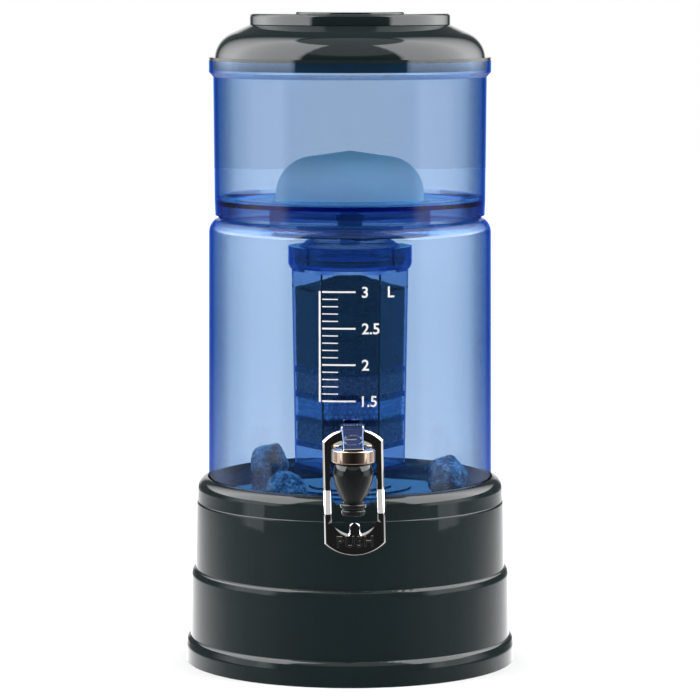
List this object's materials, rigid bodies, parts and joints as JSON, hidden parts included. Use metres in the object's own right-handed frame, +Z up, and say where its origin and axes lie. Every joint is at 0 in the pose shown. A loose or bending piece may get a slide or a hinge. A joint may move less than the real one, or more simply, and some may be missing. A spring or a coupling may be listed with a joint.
{
  "type": "gravity water filter with tap",
  "caption": "Countertop gravity water filter: two stacked clear tanks on a base stand, ceramic dome, hanging filter cartridge, push-lever tap and domed lid.",
  "frame": {"origin": "on the tanks' axis at the floor, in the middle of the base stand's hub", "axes": "+Z up along the tanks' axis, the tap faces -Y, +X to the right seen from the tap's side"},
  "size_m": [0.215, 0.2472, 0.4221],
  "materials": {
    "slate_gloss": "high gloss, moulded",
    "tank_blue": "clear tinted, glossy",
    "cartridge_blue": "clear tinted, glossy",
    "tap_black": "glossy",
    "chrome_plate": "bright plated",
    "spring_steel": "drawn wire",
    "seal_rubber": "matte",
    "pale_silicone": "matte, translucent",
    "dome_ceramic": "unglazed, porous",
    "filter_plastic": "matte",
    "carbon": "granular",
    "mineral_granules": "granular",
    "ceramic_beads": "beads",
    "mineral_stone": "rounded, speckled"
  },
  "bodies": {
    "base": {"base_stand": "slate_gloss"},
    "reservoir": {"lower_tank": "tank_blue", "mineral_stone_left": "mineral_stone", "mineral_stone_front": "mineral_stone", "mineral_stone_right": "mineral_stone", "tap_body": "tap_black", "tap_nozzle": "tap_black", "tap_collar_ring": "chrome_plate", "tap_cap": "chrome_plate", "tap_outer_gasket": "seal_rubber", "tap_inner_gasket": "seal_rubber", "tap_nut": "tap_black", "tap_spring": "spring_steel", "lever_pin": "spring_steel"},
    "lever": {"push_lever": "chrome_plate"},
    "plunger": {"tap_plunger": "tap_black", "valve_seal": "seal_rubber"},
    "upper": {"upper_tank": "tank_blue", "ceramic_dome": "dome_ceramic", "dome_plate": "filter_plastic", "dome_gasket": "pale_silicone", "stem_washer": "seal_rubber", "stem_nut": "filter_plastic"},
    "cartridge": {"cartridge_jar": "cartridge_blue", "cartridge_gasket": "seal_rubber", "cartridge_screen": "filter_plastic", "carbon_fill": "carbon", "outlet_cap": "cartridge_blue", "lower_granules": "mineral_granules", "ceramic_beads": "ceramic_beads", "upper_granules": "mineral_granules", "divider_1": "filter_plastic", "divider_2": "filter_plastic", "divider_3": "filter_plastic", "divider_4": "filter_plastic"},
    "nut": {"cartridge_nut": "cartridge_blue"},
    "lid": {"lid_shell": "slate_gloss", "lid_grip": "slate_gloss", "lid_badge": "slate_gloss"}
  },
  "joints": [
    {"name": "lower_tank_lift", "type": "slide", "parent": "base", "child": "reservoir", "axis": [0, 0, 1], "range_m": [0, 0.05]},
    {"name": "upper_tank_lift", "type": "slide", "parent": "reservoir", "child": "upper", "axis": [0, 0, 1], "range_m": [0, 0.18]},
    {"name": "lid_lift", "type": "slide", "parent": "upper", "child": "lid", "axis": [0, 0, 1], "range_m": [0, 0.1]},
    {"name": "cartridge_drop", "type": "slide", "parent": "upper", "child": "cartridge", "axis": [0, 0, 1], "range_m": [-0.006, 0]},
    {"name": "nut_turn", "type": "hinge", "parent": "cartridge", "child": "nut", "pos_m": [0, 0, 0.264], "axis": [0, 0, 1], "range_deg": [-1080, 0]},
    {"name": "lever_push", "type": "hinge", "parent": "reservoir", "child": "lever", "pos_m": [0, -0.133, 0.1533], "axis": [1, 0, 0], "range_deg": [0, 14], "stiffness_Nm_per_rad": 0.5, "springref_deg": -11.46},
    {"name": "plunger_slide", "type": "slide", "parent": "reservoir", "child": "plunger", "axis": [0, 0, 1], "range_m": [0, 0.0018], "deforming": ["tap_spring"]}
  ],
  "couplings": [
    {"joint": "nut_turn", "follows": "cartridge_drop", "rad_per_m": 3141.6},
    {"joint": "plunger_slide", "follows": "lever_push", "m_per_rad": 0.007}
  ]
}
